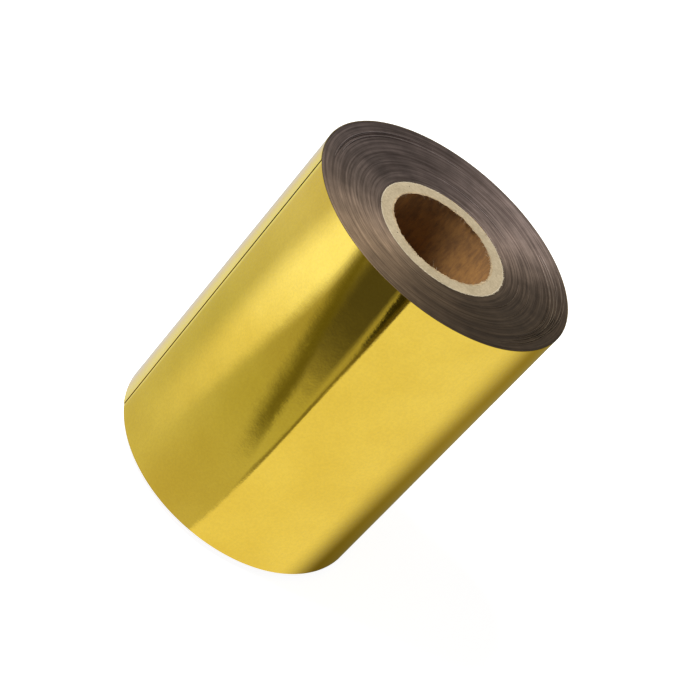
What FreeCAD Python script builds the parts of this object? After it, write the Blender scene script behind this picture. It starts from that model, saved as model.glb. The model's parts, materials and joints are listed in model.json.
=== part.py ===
"""Roll of gold transfer film wound on a spiral paperboard core, standing on one end.

The origin is the centre of the core's lower end face and +Z runs along the bore, so the part rests on
z = 0.  Angles are counter-clockwise round +Z from +X.  A "turn back" angle is measured clockwise from
the film's free edge, which is the way that the film runs as it goes in towards the core.
"""
import FreeCAD, Part
import math
import os

from FreeCAD import Vector

# Core: a one-inch tube of paper plies, each a strip wound round it in a helix
BORE_RADIUS = 12.7
CORE_WALL = 3.175
CORE_LENGTH = 80.0
LINER_THICKNESS = 0.30
WRAP_THICKNESS = 0.235
CHIPBOARD_PLIES = 6
PLY_LEAD = 90.0             # axial travel of each ply's seam in one turn
PLY_SEAM_GAP = 0.2          # left along Z between one turn of a ply and the next
SEAM_SPREAD = 137.5         # degrees from one ply's seam to the next, so that no two lie together

# Film: the wound web, its last lap and its free end
ROLL_RADIUS = 32.0
WEB_WIDTH = 80.0
TELESCOPE = 1.8             # the outermost lap stands this much higher than the innermost one
LAP_THICKNESS = 0.20        # of the last lap, thickened from the film's own 0.02
FREE_EDGE_ANGLE = -154.0
TAIL_SEGMENTS = 6
TAIL_SEGMENT_SWEEP = 14.0   # degrees of the roll that each length of the free end covers
TAIL_CLEARANCE = 0.06       # between the free end and the lap that it lies on
TAIL_GAP = 0.10             # between one length of the free end and the next

# Tape that holds the web's first edge to the core
TAPE_LENGTH = 76.0
TAPE_WIDTH = 18.0
TAPE_THICKNESS = 0.15
TAPE_ANGLE = 60.0

CORE_RADIUS = BORE_RADIUS + CORE_WALL
ORIGIN = Vector(0, 0, 0)
UP = Vector(0, 0, 1)


def polar(radius, degrees):
    angle = math.radians(degrees)
    return Vector(radius * math.cos(angle), radius * math.sin(angle), 0)


def closed_wire(points):
    return Part.makePolygon(points + points[:1])


# ---------------------------------------------------------------- core

def tube(inner, outer, length):
    wall = Part.makeCylinder(outer, length)
    return wall.cut(Part.makeCylinder(inner, length))


def seam(inner, outer, start_angle):
    """The helical gap between the edges of one ply, longer and deeper than the ply itself."""
    middle = (inner + outer) / 2
    reach = outer - inner
    low = -1.5 * PLY_SEAM_GAP
    path = Part.makeHelix(PLY_LEAD, CORE_LENGTH - 2 * low, middle)
    path.translate(Vector(0, 0, low))
    section = closed_wire([
        Vector(middle - reach, 0, low),
        Vector(middle + reach, 0, low),
        Vector(middle + reach, 0, low + PLY_SEAM_GAP),
        Vector(middle - reach, 0, low + PLY_SEAM_GAP),
    ])
    gap = Part.Wire(path.Edges).makePipeShell([section], True, True)
    gap.rotate(ORIGIN, UP, start_angle)
    return gap


def core_plies():
    """Every ply from the bore outwards: kraft liner, chipboard plies, outer wrap."""
    chipboard = (CORE_WALL - LINER_THICKNESS - WRAP_THICKNESS) / CHIPBOARD_PLIES
    layers = [("core_inner_liner", LINER_THICKNESS)]
    layers += [(f"core_ply_{number}", chipboard) for number in range(1, CHIPBOARD_PLIES + 1)]
    layers += [("core_outer_wrap", WRAP_THICKNESS)]
    plies = {}
    inner = BORE_RADIUS
    for order, (name, thickness) in enumerate(layers):
        outer = inner + thickness
        plies[name] = tube(inner, outer, CORE_LENGTH).cut(seam(inner, outer, order * SEAM_SPREAD))
        inner = outer
    return plies


def start_tape():
    """The curved strip that lies on the core under the web's first lap."""
    sweep = math.degrees(TAPE_WIDTH / CORE_RADIUS)
    strip = Part.makeCylinder(CORE_RADIUS + TAPE_THICKNESS, TAPE_LENGTH, ORIGIN, UP, sweep)
    strip = strip.cut(Part.makeCylinder(CORE_RADIUS, TAPE_LENGTH))
    strip.rotate(ORIGIN, UP, TAPE_ANGLE)
    strip.translate(Vector(0, 0, (CORE_LENGTH - TAPE_LENGTH) / 2))
    return strip


# ---------------------------------------------------------------- film

def spiral_arc(radius, centre_shift, first, last):
    """An arc between two turn back angles, about a centre on the line to the free edge."""
    centre = Vector(centre_shift, 0, 0)
    return Part.Arc(*[centre + polar(radius, -turn) for turn in (first, (first + last) / 2, last)]).toShape()


def spiral(start_radius, first, last):
    """The line of a lap: half turns about two centres, which lose one lap's thickness in a whole turn."""
    shift = LAP_THICKNESS / 4
    arcs = []
    if first < 180:
        arcs.append(spiral_arc(start_radius - shift, shift, first, min(last, 180)))
    if last > 180:
        arcs.append(spiral_arc(start_radius - 3 * shift, -shift, max(first, 180), last))
    return arcs


def telescoped(face):
    """The web's width of a flat outline, with both ends of the roll sloping down towards the core."""
    reach = 2 * ROLL_RADIUS
    rise = TELESCOPE * (reach - CORE_RADIUS) / (ROLL_RADIUS - CORE_RADIUS)
    envelope = Part.Face(closed_wire([
        ORIGIN,
        Vector(CORE_RADIUS, 0, 0),
        Vector(reach, 0, rise),
        Vector(reach, 0, rise + WEB_WIDTH),
        Vector(CORE_RADIUS, 0, WEB_WIDTH),
        Vector(0, 0, WEB_WIDTH),
    ]))
    body = face.extrude(Vector(0, 0, WEB_WIDTH + rise))
    body = body.common(envelope.revolve(ORIGIN, UP, 360))
    body.rotate(ORIGIN, UP, FREE_EDGE_ANGLE)
    return body


def lap(first, last, thickness):
    """The last lap, or a length of it, between two turn back angles."""
    outer = spiral(ROLL_RADIUS, first, last)
    inner = spiral(ROLL_RADIUS - thickness, first, last)
    near_end = Part.makeLine(outer[0].Vertexes[0].Point, inner[0].Vertexes[0].Point)
    far_end = Part.makeLine(outer[-1].Vertexes[-1].Point, inner[-1].Vertexes[-1].Point)
    outline = Part.Wire(Part.__sortEdges__(outer + inner + [near_end, far_end]))
    return telescoped(Part.Face(outline))


def winding():
    """Every lap below the last one, as one body with the step that the last lap butts against."""
    outer = spiral(ROLL_RADIUS - LAP_THICKNESS, 0, 360)
    step = Part.makeLine(outer[-1].Vertexes[-1].Point, outer[0].Vertexes[0].Point)
    outline = Part.Face(Part.Wire(outer + [step]))
    hole = Part.Face(Part.Wire(Part.makeCircle(CORE_RADIUS)))
    return telescoped(outline.cut(hole)).cut(start_tape())


def tail():
    """The free end in short lengths, numbered from the roll outwards to the free edge."""
    thickness = LAP_THICKNESS - TAIL_CLEARANCE
    half_gap = math.degrees(TAIL_GAP / 2 / ROLL_RADIUS)
    lengths = {}
    for number in range(1, TAIL_SEGMENTS + 1):
        back = (TAIL_SEGMENTS - number) * TAIL_SEGMENT_SWEEP
        first = back + half_gap if number < TAIL_SEGMENTS else back
        lengths[f"film_tail_{number}"] = lap(first, back + TAIL_SEGMENT_SWEEP - half_gap, thickness)
    return lengths


def parts():
    nodes = core_plies()
    nodes["start_tape"] = start_tape()
    nodes["film_winding"] = winding()
    nodes["film_outer_lap"] = lap(TAIL_SEGMENTS * TAIL_SEGMENT_SWEEP, 360, LAP_THICKNESS)
    nodes.update(tail())
    return nodes


os.makedirs("parts", exist_ok=True)
for node, shape in parts().items():
    shape.exportStep(f"parts/{node}.step")
    print(node, shape.isValid(), len(shape.Solids), round(shape.Volume, 1))
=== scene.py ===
"""Looks of the roll of gold transfer film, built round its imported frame.  Metres, +Z up.

A "turn back" angle is in degrees, clockwise from the film's free edge, the way that the film runs in
towards the core.  Other angles are counter-clockwise round +Z from +X, in radians unless called degrees.
"""
import json
import math
import random
from typing import NamedTuple

import bpy
from mathutils import Matrix, Vector, noise


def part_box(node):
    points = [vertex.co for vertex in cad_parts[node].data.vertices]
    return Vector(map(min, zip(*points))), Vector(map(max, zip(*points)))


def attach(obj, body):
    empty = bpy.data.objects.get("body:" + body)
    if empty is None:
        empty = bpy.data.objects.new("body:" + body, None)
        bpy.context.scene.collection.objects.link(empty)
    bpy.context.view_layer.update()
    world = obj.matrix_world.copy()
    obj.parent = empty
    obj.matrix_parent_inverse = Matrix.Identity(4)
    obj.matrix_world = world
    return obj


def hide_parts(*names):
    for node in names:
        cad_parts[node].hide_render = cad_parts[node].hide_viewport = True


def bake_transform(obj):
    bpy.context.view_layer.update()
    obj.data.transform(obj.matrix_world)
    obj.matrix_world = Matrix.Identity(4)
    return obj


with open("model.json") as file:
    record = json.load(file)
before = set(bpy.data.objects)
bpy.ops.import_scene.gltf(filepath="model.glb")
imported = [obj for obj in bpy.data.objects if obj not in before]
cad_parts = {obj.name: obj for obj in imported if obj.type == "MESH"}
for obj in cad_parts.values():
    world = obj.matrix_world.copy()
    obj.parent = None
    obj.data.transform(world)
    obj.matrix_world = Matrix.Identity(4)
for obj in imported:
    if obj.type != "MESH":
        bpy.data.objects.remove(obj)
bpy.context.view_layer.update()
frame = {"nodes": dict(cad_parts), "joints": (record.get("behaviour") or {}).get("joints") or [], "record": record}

MM = 0.001

# ---------------------------------------------------------------- sizes read from the frame

mounts = {mount["name"]: mount for mount in frame["record"]["mounts"]}
CHIPBOARD_NODES = [f"core_ply_{number}" for number in range(1, 7)]
TAIL_NODES = [f"film_tail_{number}" for number in range(1, len(frame["joints"]) + 1)]

BORE = mounts["bore"]["dims"]["r_mm"] * MM
CORE_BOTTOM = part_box("core_inner_liner")[0].z
CORE_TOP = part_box("core_inner_liner")[1].z
CORE_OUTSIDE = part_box("core_outer_wrap")[1].x
RIM_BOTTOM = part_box("film_outer_lap")[0].z
RIM_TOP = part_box("film_outer_lap")[1].z
WEB_WIDTH = RIM_TOP - RIM_BOTTOM

# ---------------------------------------------------------------- sizes that the frame doesn't state

ROLL = 32.0 * MM                        # the roll's outside radius at the film's free edge
END_SLOPE = (RIM_TOP - CORE_TOP) / (ROLL - CORE_OUTSIDE)    # rise of the telescoped ends towards the rim

PLY_LEAD = 90.0 * MM                    # axial travel of each ply's seam in one turn
PLY_SEAM = 0.2 * MM                     # the seam's width along Z
SEAM_SPREAD = math.radians(137.5)       # from one ply's seam to the next

FREE_EDGE = math.radians(-154.0)        # where the film's free edge lies round the roll
TAIL_SWEEP = 14.0                       # turn back degrees of one length of the free end
TAIL_BACK = TAIL_SWEEP * len(TAIL_NODES)    # turn back degrees of the whole free end
LAP_END = 360 + TAIL_BACK + TAIL_SWEEP  # turn back degrees at which the shown film stops, under itself
SPIRAL_PITCH = 0.10 * MM                # what the shown film loses in radius in one turn
FILM = 0.05 * MM                        # thickness of the shown film
FILM_INSET = 0.03 * MM                  # from the CAD model's surface to the shown film
EDGE_LIFT = 0.025 * MM                  # how far the free edge stands off the roll
EDGE_LIFT_SWEEP = 6.0                   # turn back degrees over which it comes down again
EDGE_SKEW = 2.4                         # turn back degrees that the free edge is out of square
WINDING_GAP = 0.02 * MM                 # from the winding to the core inside it and the film round it

CREASE = 40.0                           # degrees between faces at which shading is no longer smooth


# ---------------------------------------------------------------- mesh helpers

def make_piece(name, points, faces, materials, kinds=None, crease=None):
    """A smooth piece with edges sharp from the crease angle, in degrees.

    Kinds are the places of the faces' materials in the list of materials.
    """
    mesh = bpy.data.meshes.new(name)
    mesh.from_pydata(points, [], faces)
    for material in materials:
        mesh.materials.append(material)
    if kinds:
        mesh.polygons.foreach_set("material_index", kinds)
    mesh.polygons.foreach_set("use_smooth", [True] * len(mesh.polygons))
    mesh.update()
    if crease:
        mesh.set_sharp_from_angle(angle=math.radians(crease))
    piece = bpy.data.objects.new(name, mesh)
    bpy.context.scene.collection.objects.link(piece)
    return piece


def polar(radius, angle, z):
    return (radius * math.cos(angle), radius * math.sin(angle), z)


def spread(low, high, count):
    return [low + (high - low) * step / (count - 1) for step in range(count)]


def round_noise(angle, waves, level):
    """Smooth noise, about -1 to 1, round the roll: quicker with more waves, and different at each level."""
    return noise.noise(Vector(polar(waves, angle, level)))


def tube_faces(first, steps, corners):
    """Faces of a tube closed at both ends, whose points are rings of corners from the first point on."""
    faces = []
    for step in range(steps - 1):
        for corner in range(corners):
            here = first + step * corners + corner
            beside = first + step * corners + (corner + 1) % corners
            faces.append((here, beside, beside + corners, here + corners))
    last = first + (steps - 1) * corners
    faces.append(tuple(reversed(range(first, first + corners))))
    faces.append(tuple(range(last, last + corners)))
    return faces


# ---------------------------------------------------------------- node helpers

def new_material(name):
    material = bpy.data.materials.new(name)
    material.use_nodes = True
    return material, material.node_tree, material.node_tree.nodes["Principled BSDF"]


def feed(tree, node, **inputs):
    """Give a node's inputs, named with _ for a space, values or other nodes' outputs."""
    for key, value in inputs.items():
        socket = node.inputs[key.replace("_", " ")]
        if isinstance(value, bpy.types.NodeSocket):
            tree.links.new(value, socket)
        else:
            socket.default_value = value


def put(tree, kind, settings=None, **inputs):
    """Add a node, set its settings, feed its inputs, and return it."""
    node = tree.nodes.new(kind)
    for key, value in (settings or {}).items():
        setattr(node, key, value)
    feed(tree, node, **inputs)
    return node


def calc(tree, operation, *values):
    node = tree.nodes.new("ShaderNodeMath")
    node.operation = operation
    for place, value in enumerate(values):
        if isinstance(value, bpy.types.NodeSocket):
            tree.links.new(value, node.inputs[place])
        else:
            node.inputs[place].default_value = value
    return node.outputs[0]


def mix(tree, first, share, second):
    """A share of the first value and the rest of the second."""
    return calc(tree, "ADD", calc(tree, "MULTIPLY", first, share), calc(tree, "MULTIPLY", second, 1 - share))


def ramp(tree, factor, stops, interpolation="EASE"):
    """A colour ramp through (place, (red, green, blue)) stops."""
    node = tree.nodes.new("ShaderNodeValToRGB")
    node.color_ramp.interpolation = interpolation
    elements = node.color_ramp.elements
    while len(elements) < len(stops):
        elements.new(0.5)
    for element, (place, colour) in zip(elements, stops):
        element.position = place
        element.color = (*colour, 1)
    tree.links.new(factor, node.inputs["Fac"])
    return node.outputs["Color"]


def remap(tree, value, span, result, smooth=False):
    """Turn a span of values, (low, high), into the span of the result, and hold it beyond both ends."""
    settings = {"interpolation_type": "SMOOTHSTEP" if smooth else "LINEAR"}
    low, high = span
    start, end = result
    node = put(tree, "ShaderNodeMapRange", settings, Value=value, From_Min=low, From_Max=high)
    feed(tree, node, To_Min=start, To_Max=end)
    return node.outputs["Result"]


def blend_colour(tree, factor, first, second, blend_type="MIX"):
    node = tree.nodes.new("ShaderNodeMix")
    node.data_type = "RGBA"
    node.blend_type = blend_type
    for socket, value in ((node.inputs[0], factor), (node.inputs[6], first), (node.inputs[7], second)):
        if isinstance(value, bpy.types.NodeSocket):
            tree.links.new(value, socket)
        else:
            socket.default_value = value if isinstance(value, float) else (*value, 1)
    return node.outputs[2]


def object_point(tree, scale=(1, 1, 1)):
    """The point being shaded, in the part's own metres, stretched by scale."""
    point = tree.nodes.new("ShaderNodeTexCoord").outputs["Object"]
    mapping = put(tree, "ShaderNodeMapping", Vector=point, Scale=scale)
    return mapping.outputs["Vector"]


def grain(tree, point, scale, detail=4.0, roughness=0.6):
    node = put(tree, "ShaderNodeTexNoise", Vector=point, Scale=scale, Detail=detail, Roughness=roughness)
    return node.outputs["Fac"]


def raise_bump(tree, shader, layers):
    """Stack bumps, each (height socket, strength, distance in metres), into the shader's normal."""
    normal = None
    for height, strength, distance in layers:
        bump = put(tree, "ShaderNodeBump", Height=height, Strength=strength, Distance=distance)
        if normal:
            feed(tree, bump, Normal=normal)
        normal = bump.outputs["Normal"]
    feed(tree, shader, Normal=normal)


# ---------------------------------------------------------------- materials

def gold_film():
    """Mirror-bright metallised film under its clear carrier, faintly scuffed and speckled."""
    material, tree, shader = new_material("gold_film")
    point = object_point(tree)
    fine = grain(tree, point, 900.0, detail=5.0, roughness=0.7)
    cloud = grain(tree, point, 55.0, detail=3.0, roughness=0.5)
    speckle = grain(tree, point, 1700.0, detail=2.0)
    scuffs = grain(tree, object_point(tree, (1, 1, 0.12)), 260.0, detail=6.0, roughness=0.75)
    draw = grain(tree, object_point(tree, (1, 1, 0.05)), 330.0, detail=3.0)
    tone = ramp(tree, cloud, [(0.30, (0.80, 0.545, 0.040)), (0.70, (0.86, 0.600, 0.052))])
    fleck = ramp(tree, speckle, [(0.34, (0.98, 0.965, 0.93)), (0.66, (1.02, 1.02, 1.02))])
    scuffed = remap(tree, scuffs, (0.56, 0.74), (0.0, 1.0))
    patches = remap(tree, cloud, (0.4, 0.6), (0.2, 1.0))
    worn = calc(tree, "MULTIPLY", calc(tree, "MULTIPLY", scuffed, patches), 0.16)
    feed(
        tree, shader,
        Base_Color=blend_colour(tree, 1.0, tone, fleck, "MULTIPLY"),
        Roughness=calc(tree, "ADD", worn, remap(tree, fine, (0.3, 0.7), (0.030, 0.055))),
        Metallic=1.0,
        Specular_Tint=(1.0, 0.90, 0.45, 1),
        Coat_Weight=0.35,
        Coat_Roughness=0.05,
        Coat_IOR=1.5,
    )
    raise_bump(tree, shader, [
        (cloud, 0.10, 0.4 * MM),
        (draw, 0.12, 0.10 * MM),
        (speckle, 0.055, 0.04 * MM),
        (fine, 0.08, 0.02 * MM),
    ])
    return material


def film_back():
    """The film's adhesive side: the same metal seen through a dull brownish size coat."""
    material, tree, shader = new_material("film_back")
    fine = grain(tree, object_point(tree), 700.0)
    tone = ramp(tree, fine, [(0.3, (0.42, 0.30, 0.10)), (0.7, (0.52, 0.38, 0.14))])
    rough = remap(tree, fine, (0.3, 0.7), (0.42, 0.56))
    feed(tree, shader, Base_Color=tone, Roughness=rough, Metallic=0.75)
    raise_bump(tree, shader, [(fine, 0.1, 0.03 * MM)])
    return material


def lap_grain(tree, point, around, across):
    """Noise drawn out along the laps of the roll: around is features a radian, across features a metre."""
    flat = put(tree, "ShaderNodeVectorMath", {"operation": "MULTIPLY"}, Vector=point)
    flat.inputs[1].default_value = (1, 1, 0)
    radius = put(tree, "ShaderNodeVectorMath", {"operation": "LENGTH"}, Vector=flat.outputs["Vector"])
    turn = put(tree, "ShaderNodeVectorMath", {"operation": "NORMALIZE"}, Vector=flat.outputs["Vector"])
    spin = put(tree, "ShaderNodeVectorMath", {"operation": "SCALE"}, Vector=turn.outputs[0], Scale=around)
    parts = put(tree, "ShaderNodeSeparateXYZ", Vector=spin.outputs[0])
    depth = calc(tree, "MULTIPLY", radius.outputs["Value"], across)
    place = put(tree, "ShaderNodeCombineXYZ", X=parts.outputs["X"], Y=parts.outputs["Y"], Z=depth)
    return grain(tree, place.outputs["Vector"], 1.0, detail=3.0, roughness=0.55)


def over_end(tree, point, direction):
    """0 to 1 over the roll's end, along a direction given as (x, y)."""
    reach = 25 * MM
    along = put(tree, "ShaderNodeVectorMath", {"operation": "DOT_PRODUCT"}, Vector=point)
    along.inputs[1].default_value = (*direction, 0)
    return remap(tree, along.outputs["Value"], (-reach, reach), (0.0, 1.0))


def film_edges(name, dark, light):
    """Hundreds of film edges side by side: dark, silky, with fine arcs that stretch the light, and a painted
    reflection tint and painted light and shade across the end.
    """
    material, tree, shader = new_material(name)
    point = object_point(tree)
    arcs = lap_grain(tree, point, 1.2, 2000.0)
    dashes = lap_grain(tree, point, 2.6, 6500.0)
    toned = ramp(tree, mix(tree, arcs, 0.55, dashes), [(0.36, dark), (0.66, light)])
    mottle = remap(tree, grain(tree, point, 220.0, detail=5.0), (0.3, 0.7), (0.80, 1.20))
    # Painted reflection tint: warmer on one side of the end and cooler on the other, standing in for coloured
    # surroundings that the edges would reflect.
    painted_reflection_tint = ramp(tree, over_end(tree, point, (-0.6, 1)), [(0.0, (1.0, 0.87, 0.63)), (1.0, (1.0, 0.96, 1.0))])
    # Painted light and shade: a lighter band across the end and a darker side towards +X, standing in for how the
    # light falls on it.
    painted_light_and_shade = ramp(tree, over_end(tree, point, (1, -0.27)), [
        (0.0, (0.95, 0.95, 0.95)),
        (0.37, (1.12, 1.12, 1.12)),
        (0.63, (0.95, 0.95, 0.95)),
        (1.0, (0.52, 0.52, 0.52)),
    ])
    for shade in (mottle, painted_reflection_tint, painted_light_and_shade):
        toned = blend_colour(tree, 1.0, toned, shade, "MULTIPLY")
    tangent = put(tree, "ShaderNodeTangent", {"direction_type": "RADIAL", "axis": "Z"})
    feed(
        tree, shader,
        Base_Color=toned,
        Roughness=remap(tree, dashes, (0.3, 0.7), (0.58, 0.72)),
        Metallic=0.9,
        Anisotropic=0.55,
        Anisotropic_Rotation=0.25,
        Tangent=tangent.outputs["Tangent"],
    )
    raise_bump(tree, shader, [(arcs, 0.30, 0.10 * MM), (dashes, 0.25, 0.04 * MM)])
    return material


def paper(name, dark, light, scale, bump):
    """Paper or board: fibres at a scale, mottling and specks between two tones."""
    material, tree, shader = new_material(name)
    point = object_point(tree)
    fibres = grain(tree, object_point(tree, (1, 1, 0.35)), scale, detail=8.0, roughness=0.7)
    mottle = grain(tree, point, scale * 0.18, detail=3.0)
    tone = ramp(tree, mix(tree, fibres, 0.65, mottle), [(0.36, dark), (0.64, light)])
    specks = remap(tree, grain(tree, point, scale * 2.3, detail=2.0), (0.66, 0.74), (0.0, 0.5))
    speck_tone = tuple(part * 0.45 for part in dark)
    feed(
        tree, shader,
        Base_Color=blend_colour(tree, specks, tone, speck_tone),
        Roughness=remap(tree, fibres, (0.3, 0.7), (0.79, 0.93)),
        Specular_IOR_Level=0.25,
    )
    raise_bump(tree, shader, [(fibres, 0.6, bump), (mottle, 0.4, bump * 2)])
    return material


GOLD = gold_film()
BACK = film_back()
EDGES = film_edges("film_edges", (0.11, 0.083, 0.067), (0.25, 0.20, 0.168))
# Painted highlight: a lighter copy of the film-edge colours, for the laps that stand proud and catch the light.
LIT_PROUD_EDGES = film_edges("film_edges_proud_painted_lit", (0.34, 0.285, 0.255), (0.50, 0.44, 0.40))
KRAFT = paper("kraft_liner", (0.19, 0.095, 0.036), (0.35, 0.175, 0.052), scale=900.0, bump=0.05 * MM)
CUT_KRAFT = paper("kraft_cut_edge", (0.30, 0.215, 0.115), (0.46, 0.36, 0.22), scale=1500.0, bump=0.06 * MM)
BOARD = paper("chipboard", (0.31, 0.25, 0.155), (0.42, 0.343, 0.222), scale=1500.0, bump=0.06 * MM)
WRAP = paper("core_wrap", (0.37, 0.31, 0.21), (0.49, 0.42, 0.30), scale=1200.0, bump=0.04 * MM)
TAPE = paper("paper_tape", (0.62, 0.56, 0.42), (0.72, 0.66, 0.52), scale=800.0, bump=0.02 * MM)


# ---------------------------------------------------------------- paperboard core

def cut_end(radius, angle, ragged):
    """How far a ply's knife-cut end stands up at a point, in metres."""
    fine_size = 0.35 * MM
    broad_size = 1.6 * MM
    fine = noise.noise(Vector(polar(radius, angle, 0)) / fine_size)
    broad = noise.noise(Vector(polar(radius, angle, 5 * MM)) / broad_size)
    return ragged * (0.6 * fine + 0.4 * broad)


def torn(angle):
    """How far the liner's edge at the top is dragged into the bore, in metres."""
    broad = round_noise(angle, 2.2, 3)
    fine = round_noise(angle, 14, 8)
    return max(0.0, 0.10 + 0.35 * broad + 0.25 * fine) * MM


def ply_points(loop, columns, order, ragged):
    """Points of a ply: its loop of (radius, z) in each column round the core, counted from its seam."""
    gap = math.tau * PLY_SEAM / PLY_LEAD
    points = []
    for column in range(columns + 1):
        from_seam = gap / 2 + (math.tau - gap) * column / columns
        for radius, z in loop:
            seam = order * SEAM_SPREAD + math.tau * (z + PLY_SEAM) / PLY_LEAD
            angle = seam + from_seam
            lift = burr = 0.0
            if z == CORE_TOP:
                lift = cut_end(radius, angle, ragged)
                burr = torn(angle) if radius == BORE else 0.0
            points.append(polar(radius - burr, angle, z + lift))
    return points


def ply_faces(loop, columns):
    """Faces between a ply's columns, and for each face 0 if it is on a wall or 1 if it is on a cut end."""
    size = len(loop)
    ends = (CORE_BOTTOM, CORE_TOP)
    faces = []
    kinds = []
    for column in range(columns):
        start = column * size
        for place in range(size):
            after = (place + 1) % size
            faces.append((start + place, start + after, start + size + after, start + size + place))
            cut = loop[place][1] in ends and loop[after][1] in ends
            kinds.append(1 if cut else 0)
    return faces, kinds


def seam_faces(size, wall, across, columns):
    """The faces of a ply's two cut edges along its seam, at its first column and its last.

    A column's loop of points runs up the inner wall, over the top, down the outer wall and back along the
    bottom.  Quads join the two walls, step by step, and one polygon closes each end.
    """
    faces = []
    for start, flip in ((0, False), (columns * size, True)):
        rungs = [(start + step, start + 2 * wall + across - 1 - step) for step in range(wall)]
        edge = [(a, b, d, c) for (a, c), (b, d) in zip(rungs, rungs[1:])]
        edge.append((rungs[-1][0], *range(start + wall, start + wall + across), rungs[-1][1]))
        low = start + 2 * wall + across
        edge.append((rungs[0][1], *range(low, low + across), rungs[0][0]))
        faces += [tuple(reversed(face)) if flip else face for face in edge]
    return faces


def ply_piece(name, node, order, inner, outer, materials, ragged):
    """One ply: a strip wound in a helix, with its seam open by the gap and its ends cut by a knife.

    The materials are that of its two walls and that of its cut ends.
    """
    columns = 300
    across = 4
    walls = spread(CORE_BOTTOM, CORE_TOP, 41)
    walls.insert(-1, CORE_TOP - 0.5 * MM)       # keeps the cut's pull on the wall to the last half millimetre
    radii = spread(inner, outer, across)
    loop = [(inner, z) for z in walls[1:-1]]
    loop += [(radius, CORE_TOP) for radius in radii]
    loop += [(outer, z) for z in reversed(walls[1:-1])]
    loop += [(radius, CORE_BOTTOM) for radius in reversed(radii)]
    points = ply_points(loop, columns, order, ragged)
    faces, kinds = ply_faces(loop, columns)
    seams = seam_faces(len(loop), len(walls) - 2, across, columns)
    piece = make_piece(name, points, faces + seams, materials, kinds + [1] * len(seams), CREASE)
    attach(piece, "roll")
    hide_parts(node)
    return piece


def core():
    """The plies from the bore outwards, each with its slot, its materials and how ragged its cut end is."""
    plies = [("core_inner_liner", "core_liner", [KRAFT, CUT_KRAFT], 0.22 * MM)]
    plies += [(node, "core_board", [BOARD, BOARD], 0.09 * MM) for node in CHIPBOARD_NODES]
    plies += [("core_outer_wrap", "core_wrap", [WRAP, WRAP], 0.16 * MM)]
    inner = BORE
    for order, (node, slot, materials, ragged) in enumerate(plies):
        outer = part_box(node)[1].y
        piece = ply_piece(f"board_{order}", node, order, inner, outer, materials, ragged)
        inner = outer


# ---------------------------------------------------------------- paper fibres at the core's cut end

def fibre(points, faces, root, direction, length, thickness, droop):
    """A tapered, drooping fibre of three sides, added to the growing lists of points and faces."""
    side = direction.cross(Vector((0, 0, 1))).normalized()
    up = side.cross(direction).normalized()
    steps = 5
    sides = 3
    taper = 0.7
    first = len(points)
    for along in spread(0, 1, steps):
        centre = root + direction * length * along - Vector((0, 0, droop * length * along * along))
        width = thickness * (1 - taper * along)
        for corner in range(sides):
            turn = math.tau * corner / sides
            points.append(centre + (side * math.cos(turn) + up * math.sin(turn)) * width)
    faces += tube_faces(first, steps, sides)


def mouth_fibre(chance):
    """Root, direction, length, thickness and droop of a fibre that hangs into the bore's mouth."""
    crowded = chance.random() < 0.6
    angle = math.radians(chance.gauss(50, 55) if crowded else chance.uniform(0, 360))
    radius = BORE + chance.uniform(-0.02, 0.35) * MM
    root = Vector(polar(radius, angle, CORE_TOP - 0.03 * MM))
    inward = Vector(polar(-1, angle + chance.uniform(-1.2, 1.2), chance.uniform(0.0, 0.7))).normalized()
    length = chance.uniform(0.25, 0.9) * MM
    if chance.random() < 0.07:
        length *= 3
    thickness = chance.uniform(0.018, 0.034) * MM
    return root, inward, length, thickness, chance.uniform(0.1, 0.7)


def wrap_fibre(chance):
    """Root, direction, length, thickness and droop of a short fibre that stands outwards off the wrap."""
    angle = math.radians(chance.gauss(10, 40))
    root = Vector(polar(CORE_OUTSIDE - 0.05 * MM, angle, CORE_TOP - 0.02 * MM))
    outward = Vector(polar(1, angle + chance.uniform(-0.8, 0.8), chance.uniform(0.3, 1.2))).normalized()
    length = chance.uniform(0.15, 0.45) * MM
    return root, outward, length, chance.uniform(0.04, 0.08) * MM, 0.2


def fibres():
    """Loose paper fibres, crowded at the back right of the bore's mouth and on the right of the wrap."""
    chance = random.Random(7)
    loose = [mouth_fibre(chance) for _ in range(260)]
    loose += [wrap_fibre(chance) for _ in range(110)]
    points = []
    faces = []
    for shape in loose:
        fibre(points, faces, *shape)
    piece = make_piece("core_fibres", points, faces, [WRAP])
    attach(piece, "roll")


# ---------------------------------------------------------------- the film's last lap and free end

def ripple(angle, z):
    """Slight waves that the tension of winding leaves in the film, in metres."""
    slow = round_noise(angle, 1.6, z / (45 * MM))
    quick = round_noise(angle, 5.5, 7 + z / (16 * MM))
    return 0.030 * MM * slow + 0.008 * MM * quick


def film_radius(back):
    """The radius of the shown film's outer face at a turn back angle, before its lift and ripple."""
    return ROLL - FILM_INSET - SPIRAL_PITCH * back / 360


def film_point(back, z, depth):
    """A point of the shown film: turn back angle, height, and depth below its outer face."""
    angle = FREE_EDGE - math.radians(back)
    lift = EDGE_LIFT * max(0.0, 1 - back / EDGE_LIFT_SWEEP) ** 2
    return polar(film_radius(back) - depth + lift + ripple(angle, z), angle, z)


def film_faces(columns, rows):
    """Faces of a thin sheet whose points are two grids, and 0 for a gold face or 1 for a dull inner one."""
    inner = columns * rows
    faces = []
    kinds = []
    for column in range(columns - 1):
        for row in range(rows - 1):
            here = column * rows + row
            faces.append((here, here + 1, here + rows + 1, here + rows))
            faces.append((inner + here, inner + here + rows, inner + here + rows + 1, inner + here + 1))
            kinds += [0, 1]
    rims = []
    for column in range(columns - 1):
        low = column * rows
        high = low + rows - 1
        rims.append((low, low + rows, inner + low + rows, inner + low))
        rims.append((high, inner + high, inner + high + rows, high + rows))
    for row in range(rows - 1):
        far = (columns - 1) * rows + row
        rims.append((row, inner + row, inner + row + 1, row + 1))
        rims.append((far, far + 1, inner + far + 1, inner + far))
    return faces + rims, kinds + [0] * len(rims)


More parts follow.
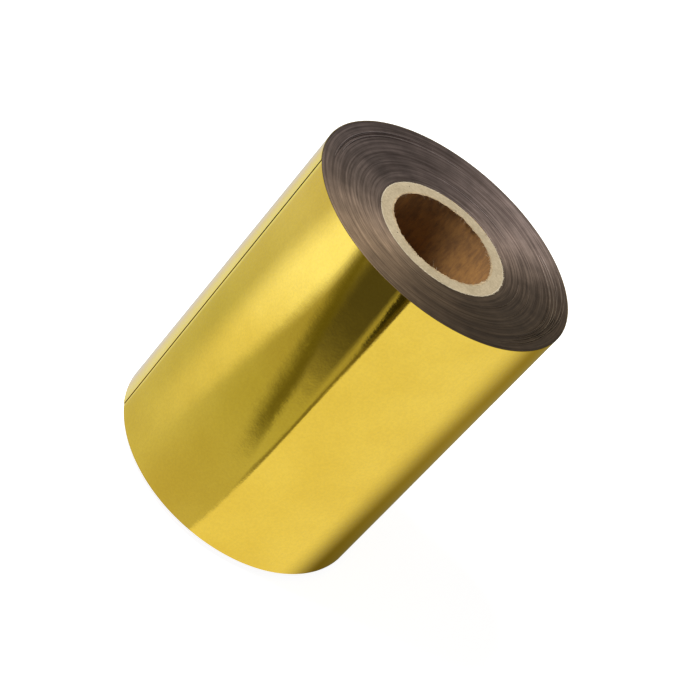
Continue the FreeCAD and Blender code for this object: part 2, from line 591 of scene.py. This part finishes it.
def film_piece(name, first, last, skew=0.0):
    """The film between two turn back angles, gold outside and dull inside.

    The skew is how many degrees further back its first edge is at the top than at the bottom.
    """
    step = 0.5
    columns = max(2, round((last - first) / step)) + 1
    heights = spread(RIM_BOTTOM, RIM_TOP, 41)
    points = []
    for depth in (0, FILM):
        for back in spread(first, last, columns):
            pull = skew * (last - back) / (last - first)
            for z in heights:
                slant = pull * ((z - RIM_BOTTOM) / WEB_WIDTH - 0.5)
                points.append(film_point(back + slant, z, depth))
    faces, kinds = film_faces(columns, len(heights))
    piece = make_piece(name, points, faces, [GOLD, BACK], kinds, CREASE)
    return piece


def tail_middle(number):
    """The turn back angle at the middle of a length of the free end, numbered from the roll outwards.

    Number 0 is the end of the last lap, half a length in from the first bend.
    """
    return TAIL_BACK - TAIL_SWEEP * (number - 0.5)


def blend_film(piece, first, last):
    """Bake a film piece's transform into its mesh; the film points at turn back angles first and last, halfway up,
    are worked out but not used.
    """
    middle = (RIM_BOTTOM + RIM_TOP) / 2
    film_point(first, middle, 0)
    film_point(last, middle, 0)
    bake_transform(piece)


def film():
    """The last lap on the roll, a piece over each bend of the free end, and the free edge beyond them."""
    root = tail_middle(0)
    lap = film_piece("film_lap", root, LAP_END)
    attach(lap, "roll")
    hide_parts("film_outer_lap")
    body = "roll"
    for number, node in enumerate(TAIL_NODES, start=1):
        first = tail_middle(number - 1)
        last = tail_middle(number)
        piece = film_piece(f"film_end_{number}", last, first)
        blend_film(piece, first, last)
        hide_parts(node)
        body = f"tail_{number}"
    edge = film_piece("film_free_edge", 0, tail_middle(len(TAIL_NODES)), EDGE_SKEW)
    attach(edge, body)


# ---------------------------------------------------------------- the film wound below its last lap

# Laps out of line with the rest: (share of the roll's radius, start and sweep in degrees, height in mm
# over the end, share of the radius that they gain along the sweep).  Sunk laps leave a groove.
SUNK_LAPS = [
    (0.885, 118, 82, -0.30, 0.006),
    (0.862, 96, 100, -0.20, 0.004),
    (0.848, -20, 70, -0.20, 0.004),
]
PROUD_LAPS = [
    (0.900, 120, 76, 0.20, 0.004),
    (0.870, 104, 84, 0.12, 0.002),
    (0.925, -42, 92, 0.24, -0.030),
    (0.895, -34, 85, 0.26, -0.022),
    (0.865, -30, 72, 0.22, -0.012),
    (0.870, -26, 62, 0.24, 0.055),
    (0.895, -20, 60, 0.26, 0.070),
    (0.915, -12, 40, 0.22, 0.060),
    (0.700, -25, 45, 0.14, -0.004),
    (0.640, 60, 60, 0.10, 0.0),
    (0.600, -40, 60, 0.12, 0.012),
]


def sunk(radius, angle):
    """Height in metres, at or below zero, that the sunk laps give the end at a point."""
    groove = 0.10 * MM
    total = 0.0
    for place, start, sweep, height, rise in SUNK_LAPS:
        along = ((math.degrees(angle) - start) % 360) / sweep
        if along < 1:
            away = (radius / ROLL - place - rise * along) * ROLL / groove
            total += height * MM * math.sin(math.pi * along) ** 0.5 * math.exp(-away * away)
    return total


def end_height(radius, angle):
    """How far the wound film's end stands up at a point, over the straight slope from core to rim."""
    broad = round_noise(angle, 1.3, radius / (1.1 * MM))
    fine = round_noise(angle, 3.0, 40 + radius / (0.32 * MM))
    drift = round_noise(angle, 1.1, 90 + radius / (6 * MM))
    return (0.022 * broad + 0.020 * fine + 0.06 * drift) * MM + sunk(radius, angle)


def end_surface(radius, angle):
    """Height of the wound film's top end at a point."""
    return CORE_TOP + END_SLOPE * (radius - CORE_OUTSIDE) + end_height(radius, angle)


def proud_laps():
    """The edges of laps that stick out of the top end, as thin strips that taper away at both ends."""
    steps = 60
    half = 0.035 * MM
    root = 0.15 * MM        # how deep the strips reach into the end
    tuck = 0.02 * MM        # how far their tapered tips end below it
    points = []
    faces = []
    for place, start, sweep, height, rise in PROUD_LAPS:
        first = len(points)
        for along in spread(0, 1, steps):
            angle = math.radians(start + sweep * along)
            radius = (place + rise * along) * ROLL
            surface = end_surface(radius, angle)
            top = surface + height * MM * math.sin(math.pi * along) ** 0.6 - tuck
            points += [
                polar(radius - half, angle, surface - root),
                polar(radius - half, angle, top),
                polar(radius + half, angle, top),
                polar(radius + half, angle, surface - root),
            ]
        faces += tube_faces(first, steps, 4)
    # The strips take the lighter copy of the film-edge colours, a painted highlight.
    piece = make_piece("film_proud_laps", points, faces, [LIT_PROUD_EDGES], crease=CREASE)
    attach(piece, "roll")


def winding_end(first, radii, side, columns):
    """One end of the winding, 1 for the top or -1 for the bottom: its points, from first on, and faces."""
    base = CORE_TOP if side > 0 else CORE_BOTTOM
    even = 0.4 * MM         # the width inside the rim over which the laps come into line
    points = []
    for radius in radii:
        rise = END_SLOPE * (radius - CORE_OUTSIDE)
        calm = min(1.0, (radii[-1] - radius) / even)
        for column in range(columns):
            angle = math.tau * column / columns
            lift = calm * end_height(radius, angle * side)
            if side < 0:
                lift = max(lift, -rise)     # no lap reaches below the core's end
            points.append(polar(radius, angle, base + rise + lift))
    faces = []
    for ring in range(len(radii) - 1):
        for column in range(columns):
            here = first + ring * columns + column
            beside = first + ring * columns + (column + 1) % columns
            quad = (here, here + columns, beside + columns, beside)
            faces.append(quad if side > 0 else quad[::-1])
    return points, faces


def winding():
    """The wound film below its last lap: both ends as rings of edges, and the walls between them."""
    columns = 240
    inside = CORE_OUTSIDE + WINDING_GAP
    outside = film_radius(LAP_END) - FILM - WINDING_GAP
    points = []
    faces = []
    rims = []
    for side, rings in ((1, 300), (-1, 80)):
        first = len(points)
        end_points, end_faces = winding_end(first, spread(inside, outside, rings), side, columns)
        points += end_points
        faces += end_faces
        rims.append((first, len(points) - columns))
    kinds = [0] * len(faces)
    (top_in, top_out), (low_in, low_out) = rims
    for column in range(columns):
        after = (column + 1) % columns
        faces.append((top_in + column, top_in + after, low_in + after, low_in + column))
        faces.append((top_out + after, top_out + column, low_out + column, low_out + after))
        kinds += [1, 1]
    piece = make_piece("film_winding_ends", points, faces, [EDGES, GOLD], kinds, crease=60.0)
    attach(piece, "roll")
    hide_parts("film_winding")


def start_tape():
    """The tape is hidden between core and film, so its CAD solid only gets a material."""
    tape = frame["nodes"]["start_tape"]
    tape.data.materials.clear()
    tape.data.materials.append(TAPE)


# ---------------------------------------------------------------- studio

class Line(NamedTuple):
    """A line down the surround: where it is across at its top and its bottom, and how soft it is in degrees.

    With a bend over 1 most of its swing is near the bottom, and with one under 1 near the top.
    """
    top: float
    bottom: float
    soft: float
    bend: float = 1.0


class Surround:
    """Painted reflections round the roll, in colours laid over each other, as a viewer at -Y sees them in the
    film.

    across is the angle round the roll at which it is seen, from -180 degrees on the left to 0 on the right.
    down is about the share of the roll's height, from the top, at which it is seen.
    """

    def __init__(self, tree):
        self.tree = tree
        ray = tree.nodes.new("ShaderNodeTexCoord").outputs["Generated"]
        east, north, self.up = put(tree, "ShaderNodeSeparateXYZ", Vector=ray).outputs
        azimuth = calc(tree, "DEGREES", calc(tree, "ARCTAN2", north, east))
        behind = calc(tree, "MULTIPLY", calc(tree, "GREATER_THAN", azimuth, 90.0), 360.0)
        turned = calc(tree, "SUBTRACT", calc(tree, "SUBTRACT", azimuth, behind), 90.0)
        self.across = calc(tree, "MULTIPLY", turned, 0.5)
        self.elevation = calc(tree, "DEGREES", calc(tree, "ARCSINE", self.up))
        self.down = remap(tree, self.elevation, (-30.2, -40.0), (0.0, 1.0))
        self.colour = None

    def tone(self, *stops):
        """A colour that changes down the surround."""
        return ramp(self.tree, self.down, stops, "LINEAR")

    def fade(self, span, result, smooth=False):
        """A strength that changes down the surround."""
        return remap(self.tree, self.down, span, result, smooth)

    def past(self, line):
        """0 on the left of a line and 1 on its right."""
        bent = calc(self.tree, "POWER", self.down, line.bend)
        place = calc(self.tree, "MULTIPLY_ADD", bent, line.bottom - line.top, line.top)
        beyond = calc(self.tree, "SUBTRACT", self.across, place)
        return remap(self.tree, beyond, (-line.soft / 2, line.soft / 2), (0.0, 1.0), smooth=True)

    def lay(self, colour, left, right, strength=1.0):
        """Lay a colour between two lines."""
        before_right = calc(self.tree, "SUBTRACT", 1.0, self.past(right))
        inside = calc(self.tree, "MULTIPLY", self.past(left), before_right)
        mask = calc(self.tree, "MULTIPLY", inside, strength)
        self.colour = blend_colour(self.tree, mask, self.colour, colour)


# Where the surround ends, behind the roll
FAR_LEFT = Line(-190, -190, soft=1)
FAR_RIGHT = Line(0, 0, soft=1)


def lay_table(surround):
    """Painted reflections of a pale wall of paper on the left and a table, with a bright painted glare between
    them.
    """
    wall = surround.tone((0.0, (0.72, 0.76, 1.20)), (0.4, (0.61, 0.66, 0.83)), (1.0, (0.70, 0.73, 0.90)))
    surround.colour = wall
    table = surround.tone(
        (0.3, (0.44, 0.44, 0.38)),
        (0.42, (0.49, 0.50, 0.45)),
        (0.55, (0.53, 0.56, 0.50)),
        (1.0, (0.62, 0.62, 0.67)),
    )
    surround.lay(table, Line(-117, -117, soft=24), FAR_RIGHT)
    glare = surround.tone((0.2, (1.28, 1.42, 2.7)), (0.42, (1.17, 1.20, 1.6)), (1.0, (1.14, 1.13, 1.4)))
    left = Line(-127.5, -138.5, soft=16, bend=0.5)
    right = Line(-109, -127.5, soft=8, bend=1.12)
    surround.lay(glare, left, right, surround.fade((0.15, 0.88), (1.0, 0.0)))


def lay_shadows(surround):
    """The dark gap left of the card: a wide wedge, a streak that runs further down, and a near-black slit."""
    spent = calc(surround.tree, "POWER", surround.fade((0.1, 0.5), (0.0, 1.0)), 2.0)
    wedge_fade = calc(surround.tree, "SUBTRACT", 1.0, spent)
    wedge = (0.085, 0.082, 0.080)
    surround.lay(wedge, Line(-106.5, -86.5, soft=11, bend=1.3), Line(-88.7, -83.7, soft=3), wedge_fade)
    streak_fade = surround.fade((0.55, 0.76), (0.90, 0.0), smooth=True)
    streak = (0.13, 0.125, 0.04)
    surround.lay(streak, Line(-110.6, -88.6, soft=7), Line(-106, -80, soft=2.5), streak_fade)
    slit_fade = surround.fade((0.16, 0.30), (1.0, 0.0))
    slit = (0.03, 0.027, 0.012)
    surround.lay(slit, Line(-87.9, -76, soft=1.2), Line(-82, -82, soft=1), slit_fade)


def lay_card(surround):
    """Painted reflection of a white card on the right, with a thin dark line along its edge."""
    white = surround.tone((0.0, (0.95, 0.98, 1.30)), (1.0, (0.94, 0.94, 1.10)))
    surround.lay(white, Line(-83.2, -87.2, soft=1.1, bend=5), FAR_RIGHT)
    line_fade = surround.fade((0.72, 0.82), (0.72, 0.0))
    line = (0.13, 0.11, 0.05)
    left = Line(-84.5, -88.5, soft=0.8, bend=5)
    right = Line(-83.1, -87.1, soft=0.8, bend=5)
    surround.lay(line, left, right, line_fade)


def lay_sides(surround):
    """Painted reflections: the roll's own shadow on the table, dark near the roll's right edge, and a pale wall
    past the film's free edge.
    """
    # Painted reflection of the roll's own shadow on the table.
    dark = surround.tone((0.0, (0.30, 0.265, 0.11)), (0.2, (0.31, 0.275, 0.12)), (1.0, (0.105, 0.085, 0.01)))
    surround.lay(dark, Line(-29.5, -33.5, soft=21), Line(-4, -4, soft=8))
    pale = ramp(surround.tree, remap(surround.tree, surround.across, (-174, -159), (0.0, 1.0)), [
        (0.0, (0.64, 0.665, 0.70)),
        (0.5, (0.78, 0.83, 1.25)),
        (1.0, (0.87, 1.00, 1.60)),
    ])
    surround.lay(pale, FAR_LEFT, Line(-155.5, -153.5, soft=1.5))


def studio_world():
    """Soft white studio above the horizon, and below it painted reflections of the papers, table, card and shaded
    gaps that the mirror film shows.
    """
    world = bpy.data.worlds.new("studio")
    bpy.context.scene.world = world
    world.use_nodes = True
    tree = world.node_tree
    surround = Surround(tree)
    lay_table(surround)
    lay_shadows(surround)
    lay_card(surround)
    lay_sides(surround)
    sky = ramp(tree, surround.up, [
        (0.0, (0.80, 0.80, 0.80)),
        (0.12, (0.60, 0.60, 0.60)),
        (0.40, (0.24, 0.24, 0.24)),
        (1.0, (0.16, 0.16, 0.16)),
    ])
    above = remap(tree, surround.elevation, (-4.0, 1.0), (0.0, 1.0), smooth=True)
    # Below the horizon only the mirror film shows the world, as the floor is hidden from mirror rays.
    feed(tree, tree.nodes["Background"], Color=blend_colour(tree, above, surround.colour, sky))


def key_light():
    """One soft lamp, high up on the left."""
    light = bpy.data.lights.new("key", "AREA")
    light.shape = "DISK"
    light.size = 0.34
    light.energy = 10.0
    lamp = bpy.data.objects.new("key", light)
    bpy.context.scene.collection.objects.link(lamp)
    toward = Vector((-0.60, -0.12, 0.79)).normalized()
    distance = 0.8
    lamp.location = Vector((0, 0, CORE_TOP)) + toward * distance
    lamp.rotation_euler = toward.to_track_quat("Z", "Y").to_euler()
    lamp.visible_camera = False


def floor():
    """A plain white floor, which mirror reflections leave out."""
    half = 12.0
    corners = [(-half, -half, 0), (half, -half, 0), (half, half, 0), (-half, half, 0)]
    material, tree, shader = new_material("floor_paper")
    tone = ramp(tree, grain(tree, object_point(tree), 3.0), [(0.3, (0.50,) * 3), (0.7, (0.52,) * 3)])
    feed(tree, shader, Base_Color=tone, Emission_Color=tone, Emission_Strength=1.75, Roughness=0.9)
    piece = make_piece("floor", corners, [(0, 1, 2, 3)], [material])
    piece.visible_glossy = False


def camera():
    """Looks down at the roll from the front, turned so that the roll leans to the upper right."""
    lens = bpy.data.cameras.new("camera")
    lens.sensor_width = 36.0
    lens.lens = 95.65
    eye = bpy.data.objects.new("camera", lens)
    bpy.context.scene.collection.objects.link(eye)
    elevation = math.radians(32.64)
    painted_light_and_shade = math.radians(42.18)
    distance = 0.4096
    aim = Vector((0.00129, 0, 0.04381))
    back = Vector((0, -math.cos(elevation), math.sin(elevation)))
    eye.location = aim + back * distance
    facing = back.to_track_quat("Z", "Y").to_matrix()
    eye.rotation_euler = (facing @ Matrix.Rotation(painted_light_and_shade, 3, "Z")).to_euler()
    bpy.context.scene.camera = eye
    bpy.context.scene.view_settings.view_transform = "Standard"


core()
fibres()
winding()
proud_laps()
film()
start_tape()
studio_world()
key_light()
floor()
camera()
